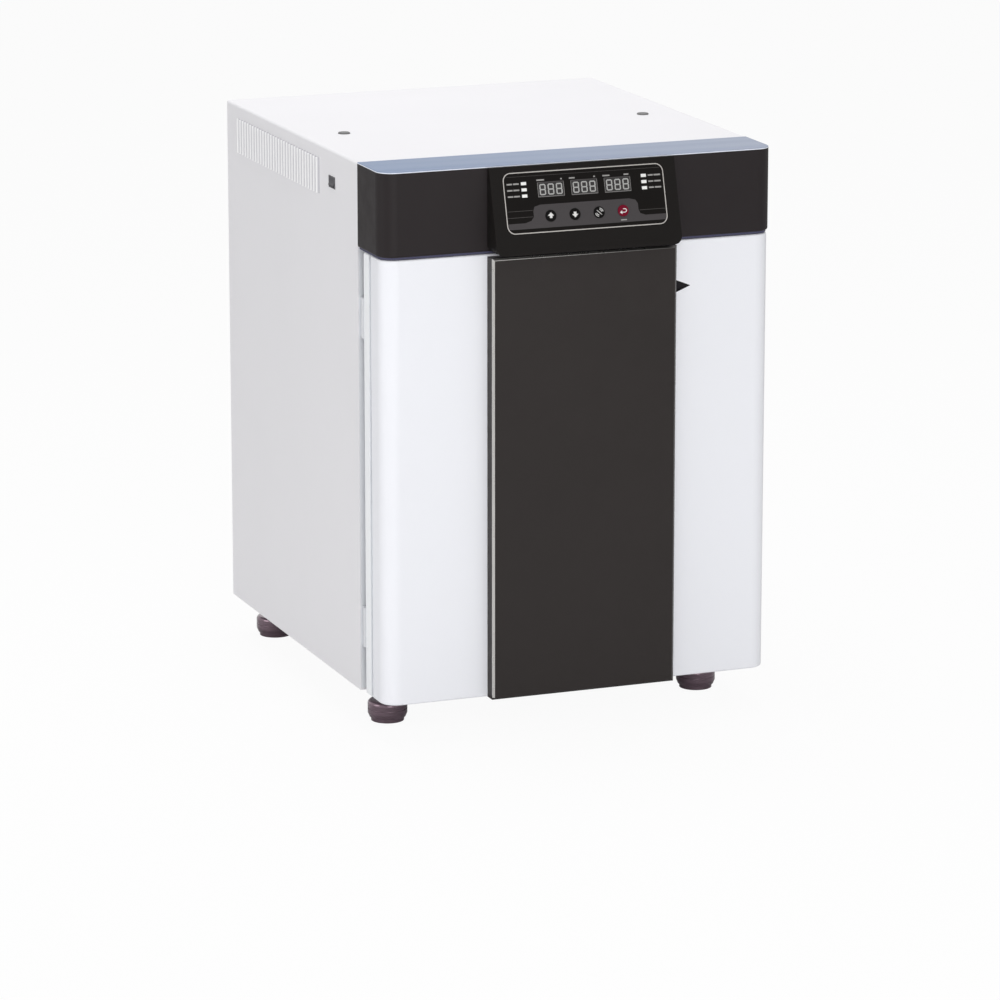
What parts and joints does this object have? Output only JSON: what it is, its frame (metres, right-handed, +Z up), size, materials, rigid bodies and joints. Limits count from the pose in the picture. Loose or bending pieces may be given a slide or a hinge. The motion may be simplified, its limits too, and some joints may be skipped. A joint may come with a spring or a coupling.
{
  "type": "carbon dioxide incubator",
  "caption": "Bench-top cell culture incubator: white steel cabinet with a black control head, a solid outer door over a glass inner door, and a heated stainless chamber with shelves.",
  "frame": {"origin": "middle of the object's footprint box, on the floor under the feet", "axes": "+X to the right of someone facing the door, +Y to the back, +Z up"},
  "size_m": [0.628, 0.777, 0.864],
  "materials": {
    "cabinet_paint": "satin powder coat",
    "frame_moulding": "satin",
    "door_paint": "gloss",
    "door_moulding": "satin",
    "head_black": "satin",
    "panel_black": "satin",
    "overlay_black": "satin film",
    "top_trim_silver": "satin",
    "bright_strip": "polished",
    "dark_seal": "matte",
    "grey_plug": "matte",
    "white_seal": "matte",
    "clear_seal": "matte",
    "stainless": "bright brushed",
    "fan_aluminium": "satin",
    "motor_steel": "satin",
    "mineral_wool": "matte",
    "door_foam": "matte",
    "heater_film": "matte",
    "door_glass": "clear, toughened",
    "latch_grey": "satin",
    "foot_dark": "gloss",
    "stopper_white": "matte",
    "gas_brass": "plated",
    "filter_white": "matte",
    "gas_pipe": "brushed",
    "socket_black": "satin",
    "rocker_black": "satin",
    "board_green": "solder resist",
    "display_smoke": "smoked",
    "lamp_white": "frosted",
    "key_black": "matte",
    "key_red": "matte"
  },
  "bodies": {
    "cabinet": {"top_cover": "cabinet_paint", "left_side_panel": "cabinet_paint", "right_side_panel": "cabinet_paint", "back_panel": "cabinet_paint", "base_pan": "cabinet_paint", "front_frame": "frame_moulding", "head_shell": "head_black", "control_block": "head_black", "control_overlay": "overlay_black", "head_top_trim": "top_trim_silver", "head_seal": "dark_seal", "top_plugs": "grey_plug", "glass_door_gasket": "clear_seal", "chamber_liner": "stainless", "shelf_rails": "stainless", "fan_cover": "stainless", "port_sleeve": "stainless", "hinge_brackets": "stainless", "equipment_plate": "fan_aluminium", "power_supply": "fan_aluminium", "fan_motor": "motor_steel", "chamber_insulation": "mineral_wool", "heating_films": "heater_film", "gas_inlet": "gas_brass", "gas_valve": "gas_brass", "gas_filter": "filter_white", "gas_lines": "gas_pipe", "sensor_probes": "gas_pipe", "power_inlet": "socket_black", "switch_bezel": "socket_black", "control_board": "board_green", "display_board": "board_green", "display_lenses": "display_smoke", "indicator_lamps": "lamp_white"},
    "outer_door": {"door_skin": "door_paint", "door_core": "door_foam", "door_inner_panel": "door_moulding", "door_gasket": "white_seal", "door_centre_panel": "panel_black", "centre_panel_trim": "bright_strip", "grip_insert": "dark_seal", "door_hinge_leaves": "stainless"},
    "glass_door": {"glass_pane": "door_glass", "glass_door_hinges": "stainless"},
    "glass_latch": {"glass_latch": "latch_grey"},
    "shelf_lower": {"shelf_lower": "stainless"},
    "shelf_middle": {"shelf_middle": "stainless"},
    "shelf_upper": {"shelf_upper": "stainless"},
    "water_pan": {"water_pan": "stainless"},
    "fan": {"fan_wheel": "fan_aluminium"},
    "port_plug": {"port_plug": "stopper_white"},
    "mains_rocker": {"mains_rocker": "rocker_black"},
    "foot_front_left": {"foot_front_left": "foot_dark"},
    "foot_front_right": {"foot_front_right": "foot_dark"},
    "foot_rear_left": {"foot_rear_left": "foot_dark"},
    "foot_rear_right": {"foot_rear_right": "foot_dark"},
    "key_up": {"key_up": "key_black"},
    "key_down": {"key_down": "key_black"},
    "key_mute": {"key_mute": "key_black"},
    "key_set": {"key_set": "key_red"}
  },
  "joints": [
    {"name": "outer_door_hinge", "type": "hinge", "parent": "cabinet", "child": "outer_door", "pos_m": [-0.303, -0.2565, 0.4], "axis": [0, 0, -1], "range_deg": [0, 120]},
    {"name": "glass_door_hinge", "type": "hinge", "parent": "cabinet", "child": "glass_door", "pos_m": [-0.224, -0.25285, 0.397], "axis": [0, 0, -1], "range_deg": [0, 121]},
    {"name": "glass_latch_turn", "type": "hinge", "parent": "cabinet", "child": "glass_latch", "pos_m": [0.232, -0.2445, 0.397], "axis": [0, 1, 0], "range_deg": [0, 90]},
    {"name": "shelf_lower_slide", "type": "slide", "parent": "cabinet", "child": "shelf_lower", "axis": [0, -1, 0], "range_m": [0, 0.147]},
    {"name": "shelf_middle_slide", "type": "slide", "parent": "cabinet", "child": "shelf_middle", "axis": [0, -1, 0], "range_m": [0, 0.147]},
    {"name": "shelf_upper_slide", "type": "slide", "parent": "cabinet", "child": "shelf_upper", "axis": [0, -1, 0], "range_m": [0, 0.147]},
    {"name": "water_pan_slide", "type": "slide", "parent": "cabinet", "child": "water_pan", "axis": [0, -1, 0], "range_m": [0, 0.147]},
    {"name": "fan_spin", "type": "hinge", "parent": "cabinet", "child": "fan", "pos_m": [0, 0.19, 0.397], "axis": [0, 1, 0], "continuous": true},
    {"name": "port_plug_pull", "type": "slide", "parent": "cabinet", "child": "port_plug", "axis": [0, 1, 0], "range_m": [0, 0.07]},
    {"name": "mains_rocker_tilt", "type": "hinge", "parent": "cabinet", "child": "mains_rocker", "pos_m": [-0.307, -0.1335, 0.814], "axis": [0, -1, 0], "range_deg": [0, 16]},
    {"name": "foot_front_left_screw", "type": "slide", "parent": "cabinet", "child": "foot_front_left", "axis": [0, 0, -1], "range_m": [0, 0.012]},
    {"name": "foot_front_right_screw", "type": "slide", "parent": "cabinet", "child": "foot_front_right", "axis": [0, 0, -1], "range_m": [0, 0.012]},
    {"name": "foot_rear_left_screw", "type": "slide", "parent": "cabinet", "child": "foot_rear_left", "axis": [0, 0, -1], "range_m": [0, 0.012]},
    {"name": "foot_rear_right_screw", "type": "slide", "parent": "cabinet", "child": "foot_rear_right", "axis": [0, 0, -1], "range_m": [0, 0.012]},
    {"name": "key_up_press", "type": "slide", "parent": "cabinet", "child": "key_up", "axis": [0, 0.9609, -0.2768], "range_m": [0, 0.0008], "stiffness_N_per_m": 500, "springref_m": -0.0004},
    {"name": "key_down_press", "type": "slide", "parent": "cabinet", "child": "key_down", "axis": [0, 0.9609, -0.2768], "range_m": [0, 0.0008], "stiffness_N_per_m": 500, "springref_m": -0.0004},
    {"name": "key_mute_press", "type": "slide", "parent": "cabinet", "child": "key_mute", "axis": [0, 0.9609, -0.2768], "range_m": [0, 0.0008], "stiffness_N_per_m": 500, "springref_m": -0.0004},
    {"name": "key_set_press", "type": "slide", "parent": "cabinet", "child": "key_set", "axis": [0, 0.9609, -0.2768], "range_m": [0, 0.0008], "stiffness_N_per_m": 500, "springref_m": -0.0004}
  ],
  "couplings": [
    {"joint": "glass_door_hinge", "follows": "outer_door_hinge", "ratio": 1},
    {"joint": "shelf_lower_slide", "follows": "outer_door_hinge", "m_per_rad": 0.07},
    {"joint": "shelf_middle_slide", "follows": "outer_door_hinge", "m_per_rad": 0.07},
    {"joint": "shelf_upper_slide", "follows": "outer_door_hinge", "m_per_rad": 0.07},
    {"joint": "water_pan_slide", "follows": "outer_door_hinge", "m_per_rad": 0.07}
  ]
}
